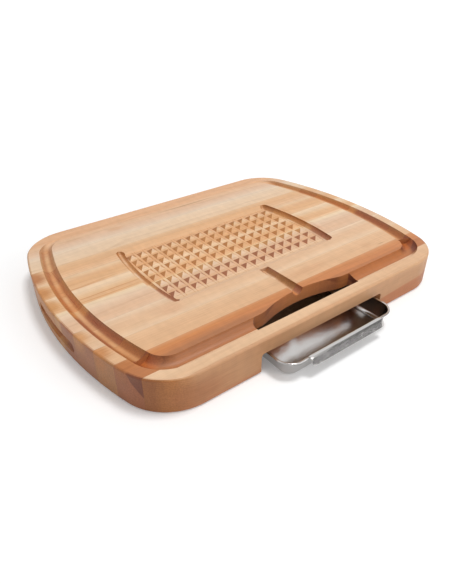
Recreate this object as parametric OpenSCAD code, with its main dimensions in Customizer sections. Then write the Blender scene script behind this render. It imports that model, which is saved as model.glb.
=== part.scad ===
// Maple carving board with a pyramid field, a juice channel and a pull-out drip tray.
// Origin: centre of the underside. +X runs along the length, +Y to the back, +Z up.

/* [Board] */
// Length of the board, end to end
board_length = 609.6; // [540:1:680]
// Width of the board, front to back
board_width = 457.2; // [430:1:490]
// Thickness of the board
board_thickness = 53; // [50:0.5:60]
// How far each end bows outward
end_bow = 42.8; // [34:0.2:50]
// Radius of the four corners, seen from above
corner_radius = 78; // [66:1:90]
// Radius of the rounded top and bottom edges
edge_radius = 3; // [1:0.5:5]

/* [Juice channel] */
// Diameter of the round-nosed cutter that makes the channel
channel_cutter = 25.4; // [22:0.2:28]
// Depth of the channel along the front rail
channel_front_depth = 9.5; // [8:0.1:11]
// Depth of the channel at the middle of each end
channel_end_depth = 7.2; // [6:0.1:8]
// Width of the rail between the channel and the front face
front_rail = 21; // [18:0.5:24]
// Width of the rim outside the channel at each end
end_rim = 18.5; // [16:0.5:22]
// Radius of the channel's centre line at the corners
channel_corner = 42; // [36:1:48]
// How steeply the channel climbs out at the back corners
channel_run_out = 7; // [6:0.5:9]

/* [Pyramid field] */
// Number of pyramids along the length
pyramid_columns = 16; // [12:1:16]
// Number of pyramids across the width
pyramid_rows = 8; // [6:1:8]
// Distance between neighbouring tips
pyramid_pitch = 19.05; // [17.5:0.05:19.5]
// Height of a pyramid, which is the depth of the field
pyramid_height = 5.3; // [4:0.1:6.5]
// Width of the flat floor between pyramids
valley_width = 4.8; // [3:0.1:7]
// How far the field sits behind the middle of the board
field_offset = 3.4; // [0:0.2:6]
// Floor between the outer pyramids and the foot of the ramps
ramp_gap = 4.4; // [2:0.2:6]
// Width of the ramps at the front and back of the field
ramp_width = 13; // [10:0.5:16]

/* [End grooves of the field] */
// Diameter of the cutter that makes the grooves
groove_cutter = 15; // [13:0.2:17]
// Depth of the grooves below the top face
groove_depth = 8.3; // [7.6:0.1:10]
// Distance from the board's middle to a groove's centre line
groove_reach = 161.5; // [160:0.5:166]
// Radius of a groove's centre line
groove_bend = 470; // [420:5:520]
// Length of a groove, front to back
groove_length = 183; // [170:1:190]

/* [Centre channel] */
// Diameter of the cutter that makes the centre channel
spout_cutter = 19; // [17:0.2:21]
// Depth of the centre channel at its back end
spout_back_depth = 5.5; // [4.5:0.1:7]
// Depth of the centre channel at the drain mouth
spout_front_depth = 10; // [8:0.1:12]
// Flat left between the field and the centre channel
spout_gap = 3; // [2:0.5:8]

/* [Drain mouth] */
// Width of the drain mouth along the front rail
mouth_width = 197; // [180:1:205]
// How far the arch reaches behind the channel
mouth_arch = 14; // [10:0.5:16]
// Width of the arch where it leaves the channel
mouth_arch_width = 150; // [130:1:156]
// Radius that eases the arch into the channel's edge
mouth_ease = 60; // [30:5:70]
// Radius of the back corners of the mouth
mouth_corner = 8; // [4:0.5:10]

/* [Tray bay] */
// Clear width beside the tray, each side
bay_side_gap = 11; // [4:0.5:16]
// Clear height above the tray
bay_top_gap = 3.5; // [2:0.5:6]
// Clear depth behind the closed tray
bay_back_gap = 6; // [3:0.5:12]
// Radius of the bay's upper corners
bay_corner = 5; // [3:0.5:8]

/* [Finger grips] */
// Height of the grip groove
grip_height = 18; // [15:0.5:22]
// Length of the grip groove, front to back
grip_length = 130; // [110:1:140]
// Height of the groove's middle above the underside
grip_level = 24.5; // [20:0.5:30]
// Depth of the grip groove at its middle
grip_depth = 10; // [8:0.2:14]

/* [Tray] */
// Width of the tray over its rolled rim
tray_width = 212; // [190:1:220]
// Length of the tray over its rolled rim, front to back
tray_length = 155; // [130:1:170]
// Height of the rim
tray_height = 27.5; // [22:0.5:32]
// Radius of the rim's corners, seen from above
tray_corner = 24; // [18:1:32]
// Width of the rim, from its outer edge to the wall
flange_width = 2.6; // [2.6:0.1:6]
// How far each wall leans in toward the floor
wall_lean = 5.6; // [1:0.1:8]
// Radius between floor and walls
floor_radius = 7; // [4:0.5:10]
// Thickness of the sheet
sheet = 1; // [0.8:0.1:1.5]
// Diameter of the rolled edge
bead = 2.4; // [2:0.1:3.2]
// How far the tray stands out of the board's front face
tray_out = 38; // [0:0.5:60]
// How far the tray stands out when it is closed
tray_proud = -2; // [-6:0.5:0]

/* [Pull] */
// Length of the pull along the rim
pull_length = 140; // [110:1:150]
// How far the pull stands out of the rim before it turns down
pull_ledge = 3; // [1:0.5:5]
// How far the pull's lip slants out
pull_reach = 5.5; // [3:0.5:8]
// How far the lip falls
pull_drop = 10; // [7:0.5:12]
// Radius of the lip's lower corners
pull_corner = 3.5; // [2:0.5:5]

/* [Hidden] */

$fn = 96;
large_fn = 180;
over = 1;
// Steps of small modelled roundings, in degrees
arc_step = 30;
corner_step = 15;
// How far one cutter pass runs on into the next, and how much deeper it goes there
pass_overlap = 0.3;
pass_step = 0.05;
// How far the flange lies below the top of its bead
flange_dip = 0.3;
// Thickness of the slices that a rounded shell is stretched over
slice = 0.02;

// Widths of the glued staves from front to back, as shares of the board's width
stave_shares = [32.6, 40, 39.5, 46.5, 55, 42, 42, 41, 43, 44, 31.6];
stave_tints = [
    "#dcb68c", "#d9925c", "#e8c3a0", "#ddb597", "#e2bd9d", "#d8a87c",
    "#dfb086", "#e0b78f", "#ecd0b0", "#dfb69a", "#dca577"
];
steel_tint = "#b9babc";

half_length = board_length / 2;
half_width = board_width / 2;
front_face = -half_width;

// Bowed ends: arcs through the corners of the outline
end_radius = (half_width * half_width + end_bow * end_bow) / (2 * end_bow);
end_axis = end_radius - half_length;
corner_y = half_width - corner_radius;
corner_x = sqrt(pow(end_radius - corner_radius, 2) - pow(corner_y, 2)) - end_axis;
corner_turn = atan2(corner_y, corner_x + end_axis);

// Centre line of the juice channel: front run, front corners, end arcs, back corners
nose = channel_cutter / 2;
channel_front_width = chord(nose, channel_front_depth);
channel_end_width = chord(nose, channel_end_depth);
channel_y = front_face + front_rail + channel_front_width / 2;
channel_climb = atan2(channel_front_depth - channel_end_depth, -channel_y);
channel_end_radius = end_radius - end_rim - channel_end_width / 2;
channel_front_corner_y = channel_y + channel_corner;
channel_front_corner_x = fillet_x(channel_front_corner_y);
channel_front_turn = atan2(-channel_front_corner_y, channel_front_corner_x + end_axis);
channel_back_corner_y = half_width - end_rim - channel_end_width / 2 - channel_corner;
channel_back_corner_x = fillet_x(channel_back_corner_y);
channel_back_turn = atan2(channel_back_corner_y, channel_back_corner_x + end_axis);
run_out_angle = 75;
run_out_overlap = nose * tan(channel_run_out) / channel_end_radius * 180 / PI;

// Pyramid field, placed about its own middle
field_floor = board_thickness - pyramid_height;
field_foot = pyramid_rows * pyramid_pitch / 2 + ramp_gap;
field_edge = field_foot + ramp_width;
pyramid_half = (pyramid_pitch - valley_width) / 2;
groove_axis = groove_bend - groove_reach;
groove_turn = asin((groove_length - groove_cutter) / 2 / groove_bend);

// Drain mouth: an arch behind the channel, eased into the channel's edge
mouth_front = front_face + front_rail + pass_overlap;
mouth_back = front_face + front_rail + channel_front_width + pass_overlap;
arch_radius = (pow(mouth_arch_width / 2, 2) + mouth_arch * mouth_arch) / (2 * mouth_arch);
arch_axis = mouth_back + mouth_arch - arch_radius;
ease_rise = arch_radius - mouth_arch + mouth_ease;
ease_x = sqrt(pow(arch_radius + mouth_ease, 2) - pow(ease_rise, 2));
ease_turn = atan2(ease_x, ease_rise);

// Centre channel, from just before the field down to the mouth
spout_back = field_offset - field_edge - spout_gap;
spout_run = spout_back - mouth_back;
spout_fall = atan2(spout_front_depth - spout_back_depth, spout_back - mouth_back - mouth_arch);

// Tray and the bay that it slides into
tray_front = front_face - tray_out;
bay_height = tray_height + bay_top_gap;
bay_half_width = tray_width / 2 + bay_side_gap;
bay_back = front_face - tray_proud + tray_length + bay_back_gap;
wall_top = tray_height - bead / 2;
flange_top = tray_height - flange_dip;

// Pull folded from strip and set on the rim
pull_bend = atan2(pull_drop, pull_reach);
pull_top = tray_height + sheet;

function part_sum(values, n, i = 0) = i == n ? 0 : values[i] + part_sum(values, n, i + 1);
function chord(r, depth) = 2 * sqrt(r * r - pow(r - depth, 2));
function fillet_x(y) = sqrt(pow(channel_end_radius - channel_corner, 2) - y * y) - end_axis;
function stave_edge(n) =
    front_face + board_width * part_sum(stave_shares, n) / part_sum(stave_shares, len(stave_shares));
function meets(n, from, to) = stave_edge(n) > from && stave_edge(n - 1) < to;
function arc(centre, r, from, to, step) =
    let (steps = abs(to - from) / step)
        [for (k = [0 : steps]) let (a = from + (to - from) * k / steps) centre + r * [cos(a), sin(a)]];

// ---- Board form ----

// Half of a section through the board, from its middle out to reach, with rounded edges
function edge_section(reach) = concat(
    [[0, 0]],
    arc([reach - edge_radius, edge_radius], edge_radius, -90, 0, arc_step),
    arc([reach - edge_radius, board_thickness - edge_radius], edge_radius, 0, 90, arc_step),
    [[0, board_thickness]]
);

module round_block(r) {
    rotate_extrude($fn = large_fn) polygon(edge_section(r));
}

module long_bar() {
    for (side = [0, 1])
        mirror([0, side, 0])
            rotate([90, 0, 90])
                linear_extrude(board_length, center = true) polygon(edge_section(half_width));
}

// Cutter that rounds one corner, turned from where the end arc stops to the long side
module corner_cutter() {
    flat = corner_radius - edge_radius;
    reach = 2 * corner_radius;
    translate([corner_x, corner_y, 0])
        rotate([0, 0, corner_turn])
            rotate_extrude(angle = 90 - corner_turn, $fn = large_fn)
                polygon(concat(
                    [[reach, -over], [reach, board_thickness + over], [flat, board_thickness + over]],
                    arc([flat, board_thickness - edge_radius], edge_radius, 90, 0, arc_step),
                    arc([flat, edge_radius], edge_radius, 0, -90, arc_step),
                    [[flat, -over]]
                ));
}

module both_ends() {
    for (side = [0, 1]) mirror([side, 0, 0]) children();
}

module four_corners() {
    for (side = [0, 1]) mirror([0, side, 0]) both_ends() children();
}

// The board before anything is cut into it
module board_form() {
    difference() {
        intersection() {
            long_bar();
            translate([end_axis, 0, 0]) round_block(end_radius);
            translate([-end_axis, 0, 0]) round_block(end_radius);
        }
        four_corners() corner_cutter();
    }
}

// ---- Juice channel ----

// Plane of the channel's centre line, which climbs gently from the front rail to the back
module channel_plane() {
    translate([0, channel_y, board_thickness - channel_front_depth + nose])
        rotate([channel_climb, 0, 0])
            translate([0, -channel_y, 0]) children();
}

// Round-nosed cutter led along an arc
module cutter_arc(cutter, bend, from, to) {
    rotate([0, 0, from])
        rotate_extrude(angle = to - from, $fn = large_fn) translate([bend, 0]) circle(d = cutter);
}

module channel_front_run() {
    channel_plane()
        translate([0, channel_y, 0])
            rotate([0, 90, 0])
                cylinder(
                    r = nose + pass_step,
                    h = 2 * (channel_front_corner_x + pass_overlap),
                    center = true
                );
}

module channel_front_corner() {
    channel_plane()
        translate([-channel_front_corner_x, channel_front_corner_y, 0])
            cutter_arc(channel_cutter, channel_corner, 180 + channel_front_turn, 270);
}

module channel_end() {
    channel_plane()
        translate([end_axis, 0, 0])
            cutter_arc(
                channel_cutter, channel_end_radius,
                180 - channel_back_turn - run_out_overlap, 180 + channel_front_turn
            );
}

// At a back corner the cutter climbs out of the wood as it turns
module channel_back_corner() {
    channel_plane()
        translate([-channel_back_corner_x, channel_back_corner_y, 0])
            rotate([-channel_run_out, 0, 180 - channel_back_turn])
                cutter_arc(channel_cutter, channel_corner, -run_out_angle, 0);
}

// ---- Pyramid field ----

// Long ridges side by side, set a little below the field's floor
module ridges(count, length) {
    foot = pyramid_half * (pyramid_height + over) / pyramid_height;
    for (i = [0 : count - 1])
        translate([(i - (count - 1) / 2) * pyramid_pitch, 0, field_floor - over])
            rotate([90, 0, 0])
                linear_extrude(length, center = true)
                    polygon([[-foot, 0], [foot, 0], [0, pyramid_height + over]]);
}

// Two crossed sets of ridges share only the pyramids
module pyramids() {
    intersection() {
        ridges(pyramid_columns, 2 * field_foot);
        rotate([0, 0, 90]) ridges(pyramid_rows, 2 * groove_reach);
    }
}

// Shallow basin with a ramp at its front and back, ending in the two grooves
module basin() {
    intersection() {
        rotate([90, 0, 90])
            linear_extrude(2 * (groove_reach + over), center = true)
                polygon([
                    [-field_foot, field_floor],
                    [field_foot, field_floor],
                    [field_edge, board_thickness],
                    [field_edge, board_thickness + over],
                    [-field_edge, board_thickness + over],
                    [-field_edge, board_thickness]
                ]);
        both_ends_bowed();
    }
}

module both_ends_bowed() {
    intersection() {
        translate([groove_axis, 0, 0]) cylinder(r = groove_bend, h = 2 * board_thickness, $fn = large_fn);
        translate([-groove_axis, 0, 0]) cylinder(r = groove_bend, h = 2 * board_thickness, $fn = large_fn);
    }
}

module field() {
    translate([0, field_offset, 0])
        difference() {
            basin();
            pyramids();
        }
}

// Bowed groove with round ends at each end of the field
module field_groove() {
    translate([groove_axis, field_offset, board_thickness - groove_depth + groove_cutter / 2]) {
        cutter_arc(groove_cutter, groove_bend, 180 - groove_turn, 180 + groove_turn);
        for (turn = [-groove_turn, groove_turn])
            rotate([0, 0, 180 + turn]) translate([groove_bend, 0, 0]) sphere(d = groove_cutter);
    }
}

// ---- Drain ----

// The arched mouth drops the juice through the board into the tray
module mouth() {
    corner_mid = [mouth_width / 2 - mouth_corner, mouth_back - mouth_corner];
    right_side = concat(
        [[mouth_width / 2, mouth_front]],
        arc(corner_mid, mouth_corner, 0, 90, corner_step),
        arc([ease_x, mouth_back + mouth_ease], mouth_ease, -90, -90 - ease_turn, ease_turn / 6)
    );
    arch = arc([0, arch_axis], arch_radius, 90 - ease_turn, 90 + ease_turn, ease_turn / 10);
    left_side = [for (k = [len(right_side) - 1 : -1 : 0]) [-right_side[k].x, right_side[k].y]];
    translate([0, 0, bay_height - over])
        linear_extrude(board_thickness - bay_height + 2 * over)
            polygon(concat(right_side, [for (k = [1 : len(arch) - 2]) arch[k]], left_side));
}

module spout() {
    translate([0, spout_back, board_thickness - spout_back_depth + spout_cutter / 2])
        rotate([90 + spout_fall, 0, 0]) cylinder(d = spout_cutter, h = spout_run);
}

// ---- Tray bay and finger grips ----

module bay() {
    side = bay_half_width - bay_corner;
    rise = bay_height - bay_corner;
    translate([0, bay_back, 0])
        rotate([90, 0, 0])
            linear_extrude(bay_back - front_face + over)
                polygon(concat(
                    [[-bay_half_width, -over], [bay_half_width, -over]],
                    arc([side, rise], bay_corner, 0, 90, corner_step),
                    arc([-side, rise], bay_corner, 90, 180, corner_step)
                ));
}

// Straight groove for the fingertips in the left end, with round ends
module finger_grip() {
    translate([-half_length + grip_depth - grip_height / 2, 0, grip_level]) {
        rotate([90, 0, 0]) cylinder(d = grip_height, h = grip_length - grip_height, center = true);
        for (side = [-1, 1])
            translate([0, side * (grip_length - grip_height) / 2, 0]) sphere(d = grip_height);
    }
}

// ---- Staves ----

// One stave, counted from the front, with its share of every cut
module stave(n) {
    color(stave_tints[n - 1])
        difference() {
            intersection() {
                board_form();
                translate([-board_length, stave_edge(n - 1), -over])
                    cube([2 * board_length, stave_edge(n) - stave_edge(n - 1), board_thickness + 2 * over]);
            }
            if (meets(n, front_face, mouth_back)) channel_front_run();
            if (meets(n, front_face, channel_front_corner_y)) both_ends() channel_front_corner();
            if (meets(n, channel_y, -channel_y)) both_ends() channel_end();
            if (meets(n, channel_back_corner_y, half_width)) both_ends() channel_back_corner();
            if (meets(n, field_offset - field_edge, field_offset + field_edge)) {
                field();
                both_ends() field_groove();
            }
            if (meets(n, front_face, mouth_back + mouth_arch)) mouth();
            if (meets(n, mouth_back, spout_back)) spout();
            if (meets(n, front_face, bay_back)) bay();
            if (meets(n, -grip_length / 2, grip_length / 2)) both_ends() finger_grip();
        }
}

// ---- Tray ----

// Outline of the tray with round corners, drawn in by inset
function tray_outline(inset) =
    let (
        x = tray_width / 2 - tray_corner,
        near = tray_corner,
        far = tray_length - tray_corner,
        r = tray_corner - inset
    )
        concat(
            arc([x, far], r, 0, 90, corner_step),
            arc([-x, far], r, 90, 180, corner_step),
            arc([-x, near], r, 180, 270, corner_step),
            arc([x, near], r, 270, 360, corner_step)
        );

module tray_slab(inset, level, height) {
    translate([0, 0, level]) linear_extrude(height) polygon(tray_outline(inset));
}

// Solid form of the pan; skin draws it in by the sheet's thickness for the hollow
module pan_form(skin, top) {
    wall_foot = flange_width + wall_lean + skin;
    r = floor_radius - skin;
    hull() {
        for (a = [0 : corner_step : 90])
            tray_slab(wall_foot + r * (1 - sin(a)), skin + r * (1 - cos(a)), slice);
        tray_slab(flange_width + skin, top - slice, slice);
    }
}

// Edge of the flange, rolled into a round bead
module rolled_edge() {
    x = tray_width / 2 - tray_corner;
    r = tray_corner - bead / 2;
    side = tray_length - 2 * tray_corner;
    translate([0, 0, tray_height - bead / 2]) {
        for (turn = [0, 180])
            translate([0, tray_length / 2, 0]) rotate([0, 0, turn]) {
                translate([x, side / 2, 0]) rotate_extrude(angle = 90) translate([r, 0]) circle(d = bead);
                translate([-x, side / 2, 0])
                    rotate([0, 0, 90]) rotate_extrude(angle = 90) translate([r, 0]) circle(d = bead);
                translate([x + r, 0, 0]) rotate([90, 0, 0]) cylinder(d = bead, h = side, center = true);
                translate([0, side / 2 + r, 0]) rotate([0, 90, 0]) cylinder(d = bead, h = 2 * x, center = true);
            }
    }
}

module tray_pan() {
    color(steel_tint)
        translate([0, tray_front, 0]) {
            difference() {
                union() {
                    pan_form(0, wall_top);
                    tray_slab(bead / 2, flange_top - sheet, sheet);
                }
                pan_form(sheet, tray_height + over);
            }
            rolled_edge();
        }
}

// Strip folded over the front rim, with a lip that slants out and down
module tray_pull() {
    lip = [-pull_ledge - pull_reach, pull_top - pull_drop];
    section = [
        [flange_width, pull_top],
        [-pull_ledge, pull_top],
        lip,
        lip + sheet * [sin(pull_bend), -cos(pull_bend)],
        [sheet * tan(pull_bend / 2) - pull_ledge, pull_top - sheet],
        [flange_width, pull_top - sheet]
    ];
    half = pull_length / 2;
    corner_x = half - pull_corner;
    corner_z = pull_top - pull_drop - sheet * cos(pull_bend) + pull_corner;
    color(steel_tint)
        translate([0, tray_front, 0])
            intersection() {
                rotate([90, 0, 90]) linear_extrude(pull_length, center = true) polygon(section);
                translate([0, flange_width + over, 0])
                    rotate([90, 0, 0])
                        linear_extrude(pull_ledge + pull_reach + flange_width + 2 * over)
                            polygon(concat(
                                [[half, pull_top + over], [-half, pull_top + over]],
                                arc([-corner_x, corner_z], pull_corner, 180, 270, corner_step),
                                arc([corner_x, corner_z], pull_corner, 270, 360, corner_step)
                            ));
            }
}

stave(1);  // stave_01
stave(2);  // stave_02
stave(3);  // stave_03
stave(4);  // stave_04
stave(5);  // stave_05
stave(6);  // stave_06
stave(7);  // stave_07
stave(8);  // stave_08
stave(9);  // stave_09
stave(10);  // stave_10
stave(11);  // stave_11
tray_pan();
tray_pull();
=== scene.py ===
import math

import bpy
from mathutils import Matrix, Vector


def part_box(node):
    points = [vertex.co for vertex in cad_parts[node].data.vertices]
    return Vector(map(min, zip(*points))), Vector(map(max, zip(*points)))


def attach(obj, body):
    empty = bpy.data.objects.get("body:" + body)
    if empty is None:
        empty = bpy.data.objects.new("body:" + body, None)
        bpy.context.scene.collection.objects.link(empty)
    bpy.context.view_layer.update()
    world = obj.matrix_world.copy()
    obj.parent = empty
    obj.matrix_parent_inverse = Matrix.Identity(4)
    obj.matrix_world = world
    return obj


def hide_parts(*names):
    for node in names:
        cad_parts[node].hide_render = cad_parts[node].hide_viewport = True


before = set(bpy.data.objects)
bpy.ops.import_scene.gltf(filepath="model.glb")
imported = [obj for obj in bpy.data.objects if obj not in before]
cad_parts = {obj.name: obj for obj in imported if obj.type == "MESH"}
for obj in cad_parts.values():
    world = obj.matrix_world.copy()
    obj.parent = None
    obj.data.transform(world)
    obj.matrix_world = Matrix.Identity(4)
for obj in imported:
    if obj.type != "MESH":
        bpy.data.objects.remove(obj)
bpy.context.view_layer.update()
print("frame loaded:", len(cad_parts), "solids")

mm = 0.001
noiseLow, noiseHigh = 0.3, 0.7  # nearly every value of a noise lies between these

# node settings that come back often
smooth = {"interpolation_type": "SMOOTHSTEP"}
mixValues = {"data_type": "FLOAT"}
mixColours = {"data_type": "RGBA"}
multiplyColours = {"data_type": "RGBA", "blend_type": "MULTIPLY"}


# one function for every colour: sRGB hex to the linear values that Blender works in
def toLinear(hexColour):
    parts = [int(hexColour[i:i + 2], 16) / 255 for i in (1, 3, 5)]
    return [p / 12.92 if p <= 0.04045 else ((p + 0.055) / 1.055) ** 2.4 for p in parts] + [1.0]


# adds a node, sets its options, and fills or links its inputs by name or number
def addNode(tree, kind, options=None, inputs=None):
    node = tree.nodes.new(kind)
    for key, value in (options or {}).items():
        setattr(node, key, value)
    for key, value in (inputs or {}).items():
        if isinstance(value, bpy.types.Node):
            value = value.outputs[0]
        if isinstance(value, bpy.types.NodeSocket):
            tree.links.new(value, node.inputs[key])
        else:
            node.inputs[key].default_value = value
    return node


# a new material with nothing in its tree yet
def emptyMaterial(name):
    material = bpy.data.materials.new(name)
    material.use_nodes = True
    material.node_tree.nodes.clear()
    return material, material.node_tree


# a new mesh object, shaded smooth
def addPiece(name, points, faces, material):
    mesh = bpy.data.meshes.new(name)
    mesh.from_pydata(points, [], faces)
    mesh.update()
    mesh.materials.append(material)
    for face in mesh.polygons:
        face.use_smooth = True
    piece = bpy.data.objects.new(name, mesh)
    bpy.context.scene.collection.objects.link(piece)
    return piece


# camera, fitted to the board's outline in the photograph
cameraSet = {
    "place": (-433.12, -585.96, 440.44),  # mm in the board's frame
    "azimuth": -36.148,  # degrees round the board
    "elevation": 33.382,  # degrees above the table
    "roll": -0.847,
    "lens": 30.20,  # mm
    "sensor": 36,  # mm along the photograph's long side
    "clip": (0.01, 100),  # metres
}

cameraData = bpy.data.cameras.new("camera")
cameraData.lens = cameraSet["lens"]
cameraData.sensor_width = cameraSet["sensor"]
cameraData.sensor_fit = "AUTO"
cameraData.clip_start, cameraData.clip_end = cameraSet["clip"]
camera = bpy.data.objects.new("camera", cameraData)
bpy.context.scene.collection.objects.link(camera)
bpy.context.scene.camera = camera

turn, tilt, roll = (math.radians(cameraSet[k]) for k in ("azimuth", "elevation", "roll"))
back = Vector((math.sin(turn) * math.cos(tilt), -math.cos(turn) * math.cos(tilt), math.sin(tilt)))
right = Vector((math.cos(turn), math.sin(turn), 0))
up = back.cross(right)
cameraX = right * math.cos(roll) + up * math.sin(roll)
cameraY = up * math.cos(roll) - right * math.sin(roll)
cameraPose = Matrix((cameraX, cameraY, back)).transposed().to_4x4()
cameraPose.translation = Vector(cameraSet["place"]) * mm
camera.matrix_world = cameraPose
print("camera placed")


# studio: one large softbox high on the right, a weak one in front, white paper below; in metres
studio = {
    "roomLight": 0.50,  # soft light from all round
    "roomBehindCamera": 0.22,  # how bright polished things see the room in front of the object
    "roomBeyond": 1.0,  # and beyond it, where the white background is
    "roomTurn": (-0.3, 0.35),  # where one fades into the other, from -1 in front to 1 behind
    "keyPlace": (0.9, -0.45, 4.4),
    "keySize": 1.2,
    "keyPower": 92,  # watts
    "frontPlace": (0.9, -2.4, 1.2),
    "frontSize": 1.4,
    "frontPower": 15,
    "paperSeen": "#f8f8f8",
    "paperBounce": "#d8cdbf",  # what the object gets back from the table
    "paperGlow": 0.14,  # near the object, where the shadow keeps its depth
    "paperFarGlow": 1.0,
    "glowFade": (0.50, 1.30),  # from the middle of the object
    "paperSize": 60,
    "paperGap": 0.0002,  # under the board, so that the two faces don't flicker
}

world = bpy.data.worlds.new("studioRoom")
world.use_nodes = True
bpy.context.scene.world = world
tree = world.node_tree
tree.nodes.clear()
path = addNode(tree, "ShaderNodeLightPath")
plain = addNode(tree, "ShaderNodeMath", {"operation": "MAXIMUM"}, {
    0: path.outputs["Is Camera Ray"], 1: path.outputs["Is Transmission Ray"]})
direction = addNode(tree, "ShaderNodeTexCoord")
direction = addNode(tree, "ShaderNodeSeparateXYZ", None, {"Vector": direction.outputs["Generated"]})
room = addNode(tree, "ShaderNodeMapRange", smooth, {
    "Value": direction.outputs["Y"],
    "From Min": studio["roomTurn"][0], "From Max": studio["roomTurn"][1],
    "To Min": studio["roomBehindCamera"], "To Max": studio["roomBeyond"]})
strength = addNode(tree, "ShaderNodeMix", mixValues, {
    "Factor": path.outputs["Is Glossy Ray"], "A": studio["roomLight"], "B": room})
strength = addNode(tree, "ShaderNodeMix", mixValues, {"Factor": plain, "A": strength, "B": 1.0})
shade = addNode(tree, "ShaderNodeBackground", None, {
    "Color": toLinear("#ffffff"), "Strength": strength})
addNode(tree, "ShaderNodeOutputWorld", None, {"Surface": shade})

for label in ("key", "front"):
    lampData = bpy.data.lights.new(label + "Softbox", "AREA")
    lampData.shape = "SQUARE"
    lampData.size = studio[label + "Size"]
    lampData.energy = studio[label + "Power"]
    lamp = bpy.data.objects.new(label + "Softbox", lampData)
    lamp.location = studio[label + "Place"]
    lamp.rotation_mode = "QUATERNION"
    lamp.rotation_quaternion = (-Vector(studio[label + "Place"])).to_track_quat("-Z", "Y")
    bpy.context.scene.collection.objects.link(lamp)

# Matt white paper: no shine at all, so only the soft shadow shows on it. Further off it glows
# until it is as white as the background
mattPaper, tree = emptyMaterial("mattPaper")
path = addNode(tree, "ShaderNodeLightPath")
seen = addNode(tree, "ShaderNodeMath", {"operation": "MAXIMUM"}, {
    0: path.outputs["Is Camera Ray"], 1: path.outputs["Is Transmission Ray"]})
seen = addNode(tree, "ShaderNodeMath", {"operation": "MAXIMUM"}, {
    0: seen, 1: path.outputs["Is Glossy Ray"]})
place = addNode(tree, "ShaderNodeTexCoord")
away = addNode(tree, "ShaderNodeVectorMath", {"operation": "LENGTH"}, {0: place.outputs["Object"]})
glow = addNode(tree, "ShaderNodeMapRange", smooth, {
    "Value": away.outputs["Value"],
    "From Min": studio["glowFade"][0], "From Max": studio["glowFade"][1],
    "To Min": studio["paperGlow"], "To Max": studio["paperFarGlow"]})
glow = addNode(tree, "ShaderNodeMath", {"operation": "MULTIPLY"}, {0: seen, 1: glow})
glow = addNode(tree, "ShaderNodeEmission", None, {"Color": toLinear("#ffffff"), "Strength": glow})
colour = addNode(tree, "ShaderNodeMix", mixColours, {
    "Factor": seen, "A": toLinear(studio["paperBounce"]), "B": toLinear(studio["paperSeen"])})
matt = addNode(tree, "ShaderNodeBsdfDiffuse", None, {"Color": colour.outputs["Result"]})
both = addNode(tree, "ShaderNodeAddShader", None, {0: glow, 1: matt})
addNode(tree, "ShaderNodeOutputMaterial", None, {"Surface": both})

half = studio["paperSize"] / 2
corners = [(-half, -half, 0), (half, -half, 0), (half, half, 0), (-half, half, 0)]
paper = addPiece("paperSweep", corners, [(0, 1, 2, 3)], mattPaper)
paper.location.z = -studio["paperGap"]
print("studio lit")


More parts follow.
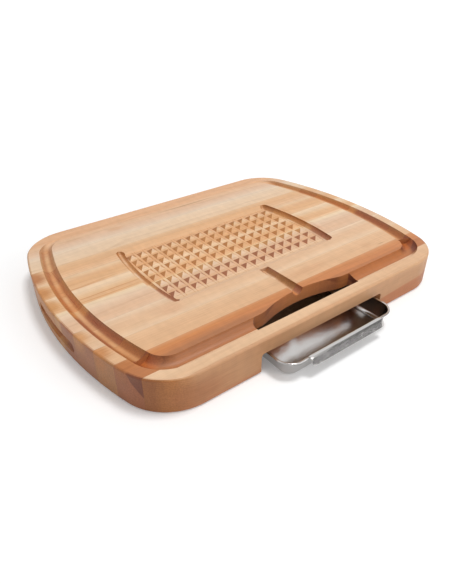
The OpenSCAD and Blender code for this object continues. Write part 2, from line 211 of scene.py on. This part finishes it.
# The staves, front to back; places are mm in the board's frame.
# "across": colours from the stave's front seam (0) to its back seam (1)
# "end": the same for its end grain
# "pith": middle of the growth rings, beside and above the stave's own middle
# "ring": mm that the tree grew in a year
# "heart": reddish heartwood on one side of a sloping plane: a point on it, its normal, and the
#     colours along the grain and on the end grain
# darker or paler places, some of them painted light and shade: middle, reach, colour and how much
# of it shows
staves = {
    "stave_01": {
        "across": [(0, "#c8966d"), (0.1, "#cc9a70"), (0.17, "#e0b78f"), (1, "#e6c09b")],
        "end": [(0.2, "#c08049"), (0.7, "#a26538")],
        "pith": (18, -70), "ring": 3.1,
        "heart": ((112, 0, 18), (0.067, 0, -1), "#c07a4c", "#b06f48"),
        "marksAndPaintedLight": [
            ((-225, -226, 20), (70, 14, 30), "#ae7047", 0.75),
            ((-40, -229, 3), (420, 8, 8), "#bd7a52", 0.6),
            ((180, -231, 42), (190, 9, 24), "#d5a47a", 0.8),
            ((200, -217, 53), (150, 30, 12), "#dbae85", 0.8),
            # painted light: paler front face above the tray's bay, lifting the shade that the tray
            # casts there
            ((20, -231, 46), (130, 12, 16), "#dfae83", 0.9),
        ],
    },
    "stave_02": {
        "across": [(0, "#c67d45"), (0.6, "#c87e47"), (0.85, "#c98249"), (1, "#d0905f")],
        "end": [(0, "#a76641")],
        "pith": (-30, -95), "ring": 2.6,
        "heart": ((0, -196, 22), (0, -0.83, 0.55), "#b97340", "#7d4329"),
        "marksAndPaintedLight": [
            ((-165, -186, 50), (120, 19, 14), "#ab7047", 0.85),
            ((-277, -165, 53), (20, 15, 30), "#ae6a34", 0.85),
        ],
    },
    "stave_03": {
        "across": [(0, "#deb085"), (0.5, "#deb187"), (0.85, "#e0b58c"), (1, "#e6bf97")],
        "end": [(0, "#b57c4c")],
        "pith": (60, -40), "ring": 2.9,
        "marksAndPaintedLight": [
            ((50, -138, 53), (50, 11, 20), "#d5a177", 0.5),
            ((184, -140, 53), (13, 10, 20), "#d5a278", 0.4),
            ((209, -149, 53), (11, 1.4, 20), "#a97c58", 0.6),
            ((-292, -128, 53), (24, 18, 30), "#c17d40", 0.85),
            ((6, -138, 48.5), (7, 34, 6), "#98652c", 0.7),
        ],
    },
    "stave_04": {
        "across": [(0, "#e6c3a0"), (0.3, "#e0b790"), (0.6, "#dfb58f"), (0.8, "#e2bd99"),
                   (1, "#e8caac")],
        "end": [(0, "#ad714c")],
        "pith": (-25, -110), "ring": 3.4,
        "marksAndPaintedLight": [
            ((-170, -100, 53), (24, 12, 20), "#d3a27d", 0.45),
            ((-301, -82, 53), (20, 22, 30), "#c98b4e", 0.8),
            ((6, -106, 48.5), (7, 20, 6), "#98652c", 0.7),
        ],
    },
    "stave_05": {
        "across": [(0, "#e0ba98"), (0.25, "#deb490"), (0.5, "#dfb896"), (0.72, "#e4c4a5"),
                   (0.9, "#e9cdab"), (1, "#ecc99c")],
        "end": [(0, "#a96b49"), (0.6, "#ad714c"), (0.75, "#cc965f")],
        "pith": (35, -85), "ring": 2.7,
        "marksAndPaintedLight": [
            ((-294, 0, 24.5), (9, 75, 11), "#b3742d", 0.9),
            # painted shade in the front end of the hand grip's hollow
            ((-296, -47, 24.5), (9, 10, 11), "#6e4526", 0.85),
            ((172, -42, 48.5), (8, 38, 6), "#cd8654", 0.7),
        ],
    },
    "stave_06": {
        "across": [(0, "#eac297"), (0.1, "#e0ae7e"), (0.3, "#e0af7f"), (0.45, "#e3b687"),
                   (0.62, "#e5bf96"), (0.8, "#e6c6a3"), (1, "#eccba6")],
        "end": [(0, "#c08147")],
        "pith": (-50, -60), "ring": 2.4,
        "marksAndPaintedLight": [
            ((-215, -14, 53), (75, 1.5, 30), "#c27a40", 0.8),
            ((-225, -7.5, 53), (70, 1.3, 30), "#cc8a4e", 0.6),
            ((-220, 0.5, 53), (80, 1.4, 30), "#c5834a", 0.7),
            ((-302, 8, 53), (19, 20, 30), "#c68642", 0.8),
            ((-294, 0, 24.5), (9, 75, 11), "#b3742d", 0.9),
            ((174, 5, 48.5), (8, 32, 6), "#d28b48", 0.7),
        ],
    },
    "stave_07": {
        "across": [(0, "#e9c197"), (0.12, "#e2b486"), (0.25, "#e0af7f"), (0.5, "#ddaa78"),
                   (0.7, "#dfae80"), (0.88, "#e3bc92"), (1, "#e5c19b")],
        "end": [(0, "#c2864b")],
        "pith": (22, -120), "ring": 3.0,
        "marksAndPaintedLight": [
            ((-255, 30.5, 53), (55, 1.6, 30), "#c07c44", 0.6),
            ((-215, 33, 53), (40, 1.3, 30), "#c98a52", 0.6),
            ((-301, 46, 53), (19, 26, 30), "#c27f3d", 0.85),
            ((-294, 0, 24.5), (9, 75, 11), "#b3742d", 0.9),
            ((172, 45, 48.5), (8, 32, 6), "#d48d4b", 0.7),
        ],
    },
    "stave_08": {
        "across": [(0, "#e3ba92"), (0.3, "#dfb084"), (0.6, "#dcab7c"), (0.85, "#ddaf82"),
                   (1, "#e0b78d")],
        "end": [(0, "#b97f4c")],
        "pith": (45, -75), "ring": 3.3,
        "marksAndPaintedLight": [
            ((-295, 92, 53), (20, 24, 30), "#b06c33", 0.9),
        ],
    },
    "stave_09": {
        "across": [(0, "#e3c09b"), (0.3, "#e4c4a2"), (0.6, "#e4c4a2"), (0.85, "#e4c7a8"),
                   (1, "#e5cbaf")],
        "end": [(0, "#c29060")],
        "pith": (-40, -100), "ring": 2.8,
        "marksAndPaintedLight": [],
    },
    "stave_10": {
        "across": [(0, "#e3c8ad"), (0.25, "#dfbc9d"), (0.5, "#dcb492"), (0.8, "#dfb48d"),
                   (1, "#dfae85")],
        "end": [(0, "#bd885a")],
        "pith": (30, -65), "ring": 2.5,
        "marksAndPaintedLight": [
            ((40, 187, 53), (75, 2.0, 30), "#a9794f", 0.65),
            ((-120, 175, 53), (18, 9, 30), "#c8966c", 0.5),
            ((-200, 181, 53), (22, 7, 30), "#cda07a", 0.4),
        ],
    },
    "stave_11": {
        "across": [(0, "#e0ad81"), (1, "#deaa7f")],
        "end": [(0, "#bb834f")],
        "pith": (-20, -80), "ring": 3.0,
        "marksAndPaintedLight": [],
    },
}

# what all the staves share. Sizes are mm along, across and up through the board, and a range is
# how dark and how pale a pattern makes the wood
wood = {
    "roughness": (0.50, 0.42),
    "ior": 1.47,  # dried oil

    "driftSize": (260, 70, 70),  # how far apart the grain's slow bends are
    "drift": (0, 14, 14),  # and how far it wanders in them
    "driftShift": (7.3, 3.1, 0),  # moves the noise for each stave, so that none repeats the last
    "toneSize": (160, 13, 13),  # broad bands
    "toneShift": (5.7, 0, 2.9),
    "toneRange": (0.965, 1.03),
    "fibreSize": (30, 1.6, 1.6),  # real fibres are far finer; as coarse as they need to show
    "fibreRange": (0.945, 1.045),
    "figureSize": (9, 24, 24),  # soft curl across the grain
    "figureRange": (0.96, 1.035),
    "poreSize": 1.8,  # real pores are about 0.1 mm; as coarse as they need to show
    "poreRange": (0.86, 1.12),

    "middleHeight": 26,  # above the table; pith places count from here
    "lateWood": (0.45, 0.92),  # share of a year's growth where the dark wood starts and is full
    "ringShow": 0.14,
    "ringColour": "#c28f62",
    "heartEdge": (-0.8, 1.6),  # either side of the sloping plane
    "markRagged": 0.5,  # how much the fibres fray a mark's edge
    "markEdge": (0.55, 1.4),  # shares of a mark's reach where it starts to fade and is gone
    "endFacing": (0.05, 0.45),  # turn of a face to the board's end where end grain starts, is full

    # from each seam, where the line starts and is full; a real one, 0.1 mm, is too fine to show
    "glueLine": (0.35, 0.35 / 3),
    "glueShade": 0.80,

    # each of these colours is what the wood is multiplied by in its place
    "channelColour": "#f1d6b5",
    "channelEnds": (225, 245),  # from the middle of the board
    "channelHeight": (51.5, 49),  # above the table, from the channel's rim into it
    "channelLevel": (0.1, 0.3),  # how level a face is, so that the board's own end is left out
    # painted shade over the valley floors between the pyramids
    "valleyShade": "#fdf6ec",
    "feedColour": "#dcb48c",
    "feedLine": (0.12, 0.42),  # from the line's middle, where it starts to fade and is gone
    "fieldStaves": (4, 8),  # the first and the last under the pyramids
    "fieldPitch": 19.05,
    "fieldFoot": 2.4,  # from the middle of a valley to the foot of the pyramids beside it
    "fieldFloor": 47.7,  # above the table
    "fieldReach": 0.6,  # above and below that floor

    "bumpStrength": 0.25,
    "bumpDepth": 0.06,  # height of the fibres
    "ringSink": -0.4,  # late wood wears a little lower, as a share of the fibres' height
}


# Hard maple, planed, sanded and oiled: close pale grain with a silky half-gloss, darker and
# browner wherever a cut runs across the fibres
def mapleMaterial(name, look, number):
    low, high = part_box(name)
    yFrom, yTo = low.y / mm, high.y / mm
    yMiddle, halfWidth = (yFrom + yTo) / 2, (yTo - yFrom) / 2
    material, tree = emptyMaterial("oiledMaple_" + name[-2:])
    place = addNode(tree, "ShaderNodeTexCoord")
    board = addNode(tree, "ShaderNodeVectorMath", {"operation": "SCALE"}, {
        0: place.outputs["Object"], "Scale": 1 / mm})
    straight = addNode(tree, "ShaderNodeSeparateXYZ", None, {"Vector": board})

    # the log was never quite straight: grain wanders a few mm over a hand's length
    drift = addNode(tree, "ShaderNodeMapping", None, {
        "Vector": board, "Location": [number * shift for shift in wood["driftShift"]],
        "Scale": [1 / size for size in wood["driftSize"]]})
    drift = addNode(tree, "ShaderNodeTexNoise", None, {"Vector": drift, "Scale": 1, "Detail": 2})
    drift = addNode(tree, "ShaderNodeVectorMath", {"operation": "SUBTRACT"}, {
        0: drift.outputs["Color"], 1: (0.5, 0.5, 0.5)})  # the middle of a noise
    bent = addNode(tree, "ShaderNodeVectorMath", {"operation": "MULTIPLY_ADD"}, {
        0: drift, 1: wood["drift"], 2: board})
    grain = addNode(tree, "ShaderNodeSeparateXYZ", None, {"Vector": bent})

    # growth rings round the pith: a slow pale start each year, then a thin darker stop
    pithY, pithZ = look["pith"]
    centre = (0, yMiddle + pithY, wood["middleHeight"] + pithZ)
    spoke = addNode(tree, "ShaderNodeVectorMath", {"operation": "SUBTRACT"}, {0: bent, 1: centre})
    spoke = addNode(tree, "ShaderNodeVectorMath", {"operation": "MULTIPLY"}, {
        0: spoke, 1: (0, 1, 1)})
    radius = addNode(tree, "ShaderNodeVectorMath", {"operation": "LENGTH"}, {0: spoke})
    years = addNode(tree, "ShaderNodeMath", {"operation": "DIVIDE"}, {
        0: radius.outputs["Value"], 1: look["ring"]})
    year = addNode(tree, "ShaderNodeMath", {"operation": "FLOOR"}, {0: years})
    season = addNode(tree, "ShaderNodeMath", {"operation": "FRACT"}, {0: years})
    chance = addNode(tree, "ShaderNodeCombineXYZ", None, {"X": year, "Y": number})
    chance = addNode(tree, "ShaderNodeTexWhiteNoise", {"noise_dimensions": "2D"}, {
        "Vector": chance})
    lateFrom, lateFull = wood["lateWood"]
    late = addNode(tree, "ShaderNodeMapRange", smooth, {
        "Value": season, "From Min": lateFrom, "From Max": lateFull})
    winter = addNode(tree, "ShaderNodeMapRange", smooth, {
        "Value": season, "From Min": lateFull, "From Max": 1, "To Min": 1, "To Max": 0})
    ring = addNode(tree, "ShaderNodeMath", {"operation": "MULTIPLY"}, {0: late, 1: winter})
    ring = addNode(tree, "ShaderNodeMath", {"operation": "MULTIPLY"}, {
        0: ring, 1: chance.outputs["Value"]})

    # broad colour bands, fine fibres and a soft curl in the figure, drawn out along the length
    tone = addNode(tree, "ShaderNodeMapping", None, {
        "Vector": board, "Location": [number * shift for shift in wood["toneShift"]],
        "Scale": [1 / size for size in wood["toneSize"]]})
    tone = addNode(tree, "ShaderNodeTexNoise", None, {"Vector": tone, "Scale": 1, "Detail": 3})
    fibre = addNode(tree, "ShaderNodeMapping", None, {
        "Vector": board, "Scale": [1 / size for size in wood["fibreSize"]]})
    fibre = addNode(tree, "ShaderNodeTexNoise", None, {
        "Vector": fibre, "Scale": 1, "Detail": 4, "Roughness": 0.6})
    figure = addNode(tree, "ShaderNodeMapping", None, {
        "Vector": bent, "Scale": [1 / size for size in wood["figureSize"]]})
    figure = addNode(tree, "ShaderNodeTexNoise", None, {"Vector": figure, "Scale": 1, "Detail": 2})

    # stave colour from seam to seam. The board's front face is one clean cut, so on the first
    # stave the colour follows that face and not the wandering grain
    side = straight if number == 1 else grain
    across = addNode(tree, "ShaderNodeMapRange", None, {
        "Value": side.outputs["Y"], "From Min": yFrom, "From Max": yTo})
    ramps = {}
    for part in ("across", "end"):
        ramps[part] = addNode(tree, "ShaderNodeValToRGB", None, {"Fac": across})
        stops = ramps[part].color_ramp.elements
        while len(stops) > len(look[part]):
            stops.remove(stops[-1])
        while len(stops) < len(look[part]):
            stops.new(1)
        for stop, (position, hexColour) in zip(stops, look[part]):
            stop.position = position
            stop.color = toLinear(hexColour)

    # end grain drinks more oil
    normal = addNode(tree, "ShaderNodeSeparateXYZ", None, {"Vector": place.outputs["Normal"]})
    facing = addNode(tree, "ShaderNodeMath", {"operation": "ABSOLUTE"}, {0: normal.outputs["X"]})
    endShare = addNode(tree, "ShaderNodeMapRange", smooth, {
        "Value": facing, "From Min": wood["endFacing"][0], "From Max": wood["endFacing"][1]})
    colour = addNode(tree, "ShaderNodeMix", mixColours, {
        "Factor": endShare, "A": ramps["across"], "B": ramps["end"]}).outputs["Result"]

    # the channel is darker at both ends, on its floor below the rim
    fromMiddle = addNode(tree, "ShaderNodeMath", {"operation": "ABSOLUTE"}, {
        0: straight.outputs["X"]})
    channelDarkening = 1.0
    for source, key in ((fromMiddle, "channelEnds"), (straight.outputs["Z"], "channelHeight"),
                        (normal.outputs["Z"], "channelLevel")):
        share = addNode(tree, "ShaderNodeMapRange", None, {
            "Value": source, "From Min": wood[key][0], "From Max": wood[key][1]})
        channelDarkening = addNode(tree, "ShaderNodeMath", {"operation": "MULTIPLY"}, {0: channelDarkening, 1: share})
    colour = addNode(tree, "ShaderNodeMix", multiplyColours, {
        "Factor": channelDarkening, "A": colour, "B": toLinear(wood["channelColour"])}).outputs["Result"]

    if "heart" in look:
        point, slope, hexColour, endHex = look["heart"]
        heart = addNode(tree, "ShaderNodeMix", mixColours, {
            "Factor": endShare, "A": toLinear(hexColour), "B": toLinear(endHex)})
        depth = addNode(tree, "ShaderNodeVectorMath", {"operation": "SUBTRACT"}, {
            0: bent, 1: point})
        depth = addNode(tree, "ShaderNodeVectorMath", {"operation": "DOT_PRODUCT"}, {
            0: depth, 1: slope})
        share = addNode(tree, "ShaderNodeMapRange", smooth, {
            "Value": depth.outputs["Value"],
            "From Min": wood["heartEdge"][0], "From Max": wood["heartEdge"][1]})
        colour = addNode(tree, "ShaderNodeMix", mixColours, {
            "Factor": share, "A": colour, "B": heart.outputs["Result"]}).outputs["Result"]
    # each place is blended towards its colour; some are painted light or painted shade, the rest
    # the wood's own
    for middle, reach, hexColour, show in look["marksAndPaintedLight"]:
        offset = addNode(tree, "ShaderNodeVectorMath", {"operation": "SUBTRACT"}, {
            0: bent, 1: middle})
        offset = addNode(tree, "ShaderNodeVectorMath", {"operation": "DIVIDE"}, {
            0: offset, 1: reach})
        offset = addNode(tree, "ShaderNodeVectorMath", {"operation": "LENGTH"}, {0: offset})
        ragged = addNode(tree, "ShaderNodeMath", {"operation": "MULTIPLY_ADD"}, {
            0: fibre, 1: wood["markRagged"], 2: offset.outputs["Value"]})
        share = addNode(tree, "ShaderNodeMapRange", smooth, {
            "Value": ragged, "From Min": wood["markEdge"][0], "From Max": wood["markEdge"][1],
            "To Min": show, "To Max": 0})
        colour = addNode(tree, "ShaderNodeMix", mixColours, {
            "Factor": share, "A": colour, "B": toLinear(hexColour)}).outputs["Result"]

    # open pores, in the end grain only
    pores = addNode(tree, "ShaderNodeTexNoise", None, {
        "Vector": board, "Scale": 1 / wood["poreSize"], "Detail": 2})
    level = 1.0
    for source, key in ((tone, "toneRange"), (fibre, "fibreRange"), (figure, "figureRange"),
                        (pores, "poreRange")):
        step = addNode(tree, "ShaderNodeMapRange", None, {
            "Value": source, "From Min": noiseLow, "From Max": noiseHigh,
            "To Min": wood[key][0], "To Max": wood[key][1]})
        if source == pores:
            step = addNode(tree, "ShaderNodeMix", mixValues, {
                "Factor": endShare, "A": 1.0, "B": step})
        level = addNode(tree, "ShaderNodeMath", {"operation": "MULTIPLY"}, {0: level, 1: step})

    # thin dark line where two staves are glued
    if 1 < number < len(staves):
        seam = addNode(tree, "ShaderNodeMath", {"operation": "SUBTRACT"}, {
            0: straight.outputs["Y"], 1: yMiddle})
        seam = addNode(tree, "ShaderNodeMath", {"operation": "ABSOLUTE"}, {0: seam})
        seam = addNode(tree, "ShaderNodeMapRange", None, {
            "Value": seam, "From Min": halfWidth - wood["glueLine"][0],
            "From Max": halfWidth - wood["glueLine"][1], "To Min": 1, "To Max": wood["glueShade"]})
        level = addNode(tree, "ShaderNodeMath", {"operation": "MULTIPLY"}, {0: level, 1: seam})

    # the cutter's feed lines at the foot of the pyramids, and painted shade over the valley floors
    # between them
    if wood["fieldStaves"][0] <= number <= wood["fieldStaves"][1]:
        cell = addNode(tree, "ShaderNodeMath", {"operation": "PINGPONG"}, {
            0: straight.outputs["X"], 1: wood["fieldPitch"] / 2})
        cell = addNode(tree, "ShaderNodeMath", {"operation": "SUBTRACT"}, {
            0: cell, 1: wood["fieldFoot"]})
        cell = addNode(tree, "ShaderNodeMath", {"operation": "ABSOLUTE"}, {0: cell})
        line = addNode(tree, "ShaderNodeMapRange", smooth, {
            "Value": cell, "From Min": wood["feedLine"][0], "From Max": wood["feedLine"][1],
            "To Min": 1, "To Max": 0})
        deep = addNode(tree, "ShaderNodeMath", {"operation": "SUBTRACT"}, {
            0: straight.outputs["Z"], 1: wood["fieldFloor"]})
        deep = addNode(tree, "ShaderNodeMath", {"operation": "ABSOLUTE"}, {0: deep})
        deep = addNode(tree, "ShaderNodeMath", {"operation": "LESS_THAN"}, {
            0: deep, 1: wood["fieldReach"]})
        line = addNode(tree, "ShaderNodeMath", {"operation": "MULTIPLY"}, {0: line, 1: deep})
        for share, key in ((deep, "valleyShade"), (line, "feedColour")):
            colour = addNode(tree, "ShaderNodeMix", multiplyColours, {
                "Factor": share, "A": colour, "B": toLinear(wood[key])}).outputs["Result"]

    colour = addNode(tree, "ShaderNodeVectorMath", {"operation": "SCALE"}, {
        0: colour, "Scale": level})
    ringShare = addNode(tree, "ShaderNodeMath", {"operation": "MULTIPLY"}, {
        0: ring, 1: wood["ringShow"]})
    colour = addNode(tree, "ShaderNodeMix", multiplyColours, {
        "Factor": ringShare, "A": colour, "B": toLinear(wood["ringColour"])}).outputs["Result"]

    height = addNode(tree, "ShaderNodeMath", {"operation": "MULTIPLY_ADD"}, {
        0: ring, 1: wood["ringSink"], 2: fibre})
    bump = addNode(tree, "ShaderNodeBump", None, {
        "Strength": wood["bumpStrength"], "Distance": wood["bumpDepth"] * mm, "Height": height})
    gloss = addNode(tree, "ShaderNodeMapRange", None, {
        "Value": fibre, "From Min": noiseLow, "From Max": noiseHigh,
        "To Min": wood["roughness"][0], "To Max": wood["roughness"][1]})
    shader = addNode(tree, "ShaderNodeBsdfPrincipled", None, {
        "Base Color": colour, "Roughness": gloss, "IOR": wood["ior"], "Normal": bump})
    addNode(tree, "ShaderNodeOutputMaterial", None, {"Surface": shader})
    return material


for number, (name, look) in enumerate(staves.items(), 1):
    material = mapleMaterial(name, look, number)
    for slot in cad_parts[name].material_slots:
        slot.material = material
print("staves finished:", len(staves))


steel = {
    "colour": "#cac7c5",
    "roughness": 0.13,
    "glossRange": (0.85, 1.15),  # what the grain makes of that roughness
    "grainSize": (12, 0.5, 0.5),  # mm; rolled sheet has finer lines, which wouldn't show
    "waveSize": 30,  # mm; how far apart the press has left the sheet a little uneven
    "waveShow": 4.0,  # how much higher than the grain that stands
    "bumpStrength": 0.5,
    "bumpDepth": 0.12,  # mm
}


# Stainless steel sheet, pressed and left satin: soft broad reflections, no brushing to see
def steelMaterial(name):
    material, tree = emptyMaterial(name)
    place = addNode(tree, "ShaderNodeTexCoord")
    board = addNode(tree, "ShaderNodeVectorMath", {"operation": "SCALE"}, {
        0: place.outputs["Object"], "Scale": 1 / mm})
    wave = addNode(tree, "ShaderNodeTexNoise", None, {
        "Vector": board, "Scale": 1 / steel["waveSize"], "Detail": 1})
    grain = addNode(tree, "ShaderNodeMapping", None, {
        "Vector": board, "Scale": [1 / size for size in steel["grainSize"]]})
    grain = addNode(tree, "ShaderNodeTexNoise", None, {"Vector": grain, "Scale": 1, "Detail": 3})
    gloss = addNode(tree, "ShaderNodeMapRange", None, {
        "Value": grain, "From Min": noiseLow, "From Max": noiseHigh,
        "To Min": steel["roughness"] * steel["glossRange"][0],
        "To Max": steel["roughness"] * steel["glossRange"][1]})
    height = addNode(tree, "ShaderNodeMath", {"operation": "MULTIPLY_ADD"}, {
        0: wave, 1: steel["waveShow"], 2: grain})
    bump = addNode(tree, "ShaderNodeBump", None, {
        "Strength": steel["bumpStrength"], "Distance": steel["bumpDepth"] * mm, "Height": height})
    shader = addNode(tree, "ShaderNodeBsdfPrincipled", None, {
        "Base Color": toLinear(steel["colour"]), "Metallic": 1.0, "Roughness": gloss,
        "Normal": bump})
    addNode(tree, "ShaderNodeOutputMaterial", None, {"Surface": shader})
    return material


satinSteel = steelMaterial("satinStainless")


# tray, in mm as in the part; an inset is measured in from its outer edge
tray = {
    "front": -266.6,
    "width": 212,
    "length": 155,
    "height": 27.5,
    "corner": 24,
    "sheet": 1,
    "rim": 2.6,  # inset of the wall where it leaves the rolled edge
    "lean": 5.6,  # how much further in it ends at its foot
    "floorRadius": 7,
    "floorSteps": 8,
    "rise": 1.2,  # the pressed floor turns up towards the walls
    "riseFrom": 0.6,  # share of the way out where that starts
    "floorLean": 4,  # degrees that it leans where it meets the walls
    "floorRings": (0.96, 0.9, 0.84, 0.78, 0.72, 0.66, 0.6, 0.4, 0.2),
    "bead": 2.4,  # thickness of the rolled edge
    "beadTurn": (50, 318),  # degrees that it turns through, from the flange out and under
    "beadSteps": 16,
    "beadGap": 1.6,  # below the bead, where the outside of the wall starts
    "dip": 0.3,  # the flange lies lower than the bead
    "neck": 0.8,  # radius from the wall to the flange
    "neckSteps": 5,
    "cornerSteps": 14,
}


# closed outline of the tray, drawn in by inset; corners keep the same centres
def trayOutline(inset):
    x, y = tray["width"] / 2 - tray["corner"], tray["length"] / 2 - tray["corner"]
    r = tray["corner"] - inset
    outline = []
    for cx, cy, start in ((x, y, 0), (-x, y, 90), (-x, -y, 180), (x, -y, 270)):
        for step in range(tray["cornerSteps"] + 1):
            a = math.radians(start + 90 * step / tray["cornerSteps"])
            outline.append((cx + r * math.cos(a), cy + r * math.sin(a)))
        # a point halfway along the next side keeps long quads in check
        a = math.radians(start + 90)
        nx, ny = {0: (-x, y), 90: (-x, -y), 180: (x, -y), 270: (x, y)}[start]
        outline.append(((cx + nx) / 2 + r * math.cos(a), (cy + ny) / 2 + r * math.sin(a)))
    return outline


def arcPoints(cx, cz, r, start, end, steps):
    angles = [math.radians(start + (end - start) * i / steps) for i in range(steps + 1)]
    return [(cx + r * math.cos(a), cz + r * math.sin(a)) for a in angles]


# section of the pressed sheet as (inset, height), from the inside floor over the rim and down
# the outside to the underside
def traySection():
    t, r, neck = tray["sheet"], tray["floorRadius"], tray["neck"]
    bead = tray["bead"] / 2
    beadHeight = tray["height"] - bead
    flange = tray["height"] - tray["dip"]
    foot = tray["rim"] + tray["lean"]
    slope = tray["lean"] / (beadHeight - r)
    wallTop = foot + t - slope * (flange - r)
    outerTop = beadHeight - tray["beadGap"]
    section = arcPoints(foot + r, r + tray["rise"], r - t, 270 - tray["floorLean"], 180,
                        tray["floorSteps"])
    section += arcPoints(wallTop - neck, flange - neck, neck, 0, 90, tray["neckSteps"])
    section += arcPoints(bead, beadHeight, bead, *tray["beadTurn"], tray["beadSteps"])
    section.append((foot - slope * (outerTop - r), outerTop))
    section += arcPoints(foot + r, r, r, 180, 270, tray["floorSteps"])
    return section


section = traySection()
trayMiddle = tray["front"] + tray["length"] / 2
ringSize = len(trayOutline(0))
points, faces = [], []
for inset, z in section:
    points += [(x * mm, (y + trayMiddle) * mm, z * mm) for x, y in trayOutline(inset)]
for row in range(len(section) - 1):
    near, far = row * ringSize, (row + 1) * ringSize
    for i in range(ringSize):
        j = (i + 1) % ringSize
        faces.append((near + i, near + j, far + j, far + i))


# closes a floor with rings that shrink to one point
def closeFloor(firstRow, level, rise, faceUp):
    outline = trayOutline(section[firstRow][0])
    previous = firstRow * ringSize
    for share in tray["floorRings"]:
        start = len(points)
        z = level + rise * max(0, (share - tray["riseFrom"]) / (1 - tray["riseFrom"])) ** 2
        points.extend((x * share * mm, (y * share + trayMiddle) * mm, z * mm) for x, y in outline)
        for i in range(ringSize):
            j = (i + 1) % ringSize
            quad = (previous + i, previous + j, start + j, start + i)
            faces.append(quad if faceUp else quad[::-1])
        previous = start
    centre = len(points)
    points.append((0, trayMiddle * mm, level * mm))
    for i in range(ringSize):
        j = (i + 1) % ringSize
        face = (previous + i, previous + j, centre)
        faces.append(face if faceUp else face[::-1])


closeFloor(0, tray["sheet"], tray["rise"], True)
closeFloor(len(section) - 1, 0, 0, False)
trayShell = addPiece("trayShell", points, faces, satinSteel)
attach(trayShell, "tray")
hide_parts("tray_pan")
print("tray pressed")


# pull on the tray's rim: one folded strip, in mm
pull = {
    "length": 140,
    "sheet": 1,
    "onRim": 2.6,  # how far back it lies on the tray's rim
    "ledge": 3,  # flat part in front of the rim
    "reach": 5.5,  # how far forward the lip slants
    "drop": 10,  # while it comes down this far
    "bend": 1.2,  # radius of the fold, at the middle of the sheet
    "bendSteps": 6,
    "corner": 3.5,  # radius of the lip's two lower corners
    "lipRows": (0.25, 0.5, 0.65, 0.75, 0.83, 0.9, 0.95, 0.98, 1),  # closer where those curve
    "columns": 24,
    "edge": 0.25,  # how far the cut edges are eased
    "edgeSteps": 2,
    "edgeAngle": 50,  # degrees; flatter edges stay as they are
}


# middle line of the folded strip as (y, z), from on the rim down the slanting lip
def pullLine():
    half = pull["sheet"] / 2
    top = tray["height"] + half
    angle = math.atan2(pull["drop"], pull["reach"])
    r = pull["bend"]
    tangent = r * math.tan(angle / 2)
    fold = half * math.tan(angle / 2) - pull["ledge"]
    line = [(pull["onRim"], top), (0, top)]
    for i in range(pull["bendSteps"] + 1):
        a = angle * i / pull["bendSteps"]
        line.append((fold + tangent - r * math.sin(a), top - r * (1 - math.cos(a))))
    y, z = line[-1]
    run = math.hypot(pull["reach"], pull["drop"]) - half * math.tan(angle / 2) - tangent
    for share in pull["lipRows"]:
        line.append((y - run * share * math.cos(angle), z - run * share * math.sin(angle)))
    return line


line = pullLine()
lengths = [0]
for a, b in zip(line, line[1:]):
    lengths.append(lengths[-1] + math.hypot(b[0] - a[0], b[1] - a[1]))
columns, corner = pull["columns"], pull["corner"]
points, faces = [], []
for (y, z), run in zip(line, lengths):
    intoCorner = max(0, corner - (lengths[-1] - run))
    halfLength = pull["length"] / 2 - corner + math.sqrt(max(0, corner ** 2 - intoCorner ** 2))
    for i in range(columns + 1):
        points.append((halfLength * (2 * i / columns - 1) * mm, (tray["front"] + y) * mm, z * mm))
for row in range(len(line) - 1):
    for i in range(columns):
        a = row * (columns + 1) + i
        faces.append((a, a + 1, a + columns + 2, a + columns + 1))
pullStrip = addPiece("pullStrip", points, faces, satinSteel)
thick = pullStrip.modifiers.new("sheet", "SOLIDIFY")
thick.thickness = pull["sheet"] * mm
thick.offset = 0
soften = pullStrip.modifiers.new("edge", "BEVEL")
soften.width = pull["edge"] * mm
soften.segments = pull["edgeSteps"]
soften.limit_method = "ANGLE"
soften.angle_limit = math.radians(pull["edgeAngle"])
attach(pullStrip, "tray")
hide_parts("tray_pull")
print("pull folded")


bpy.context.scene.view_settings.view_transform = "Standard"
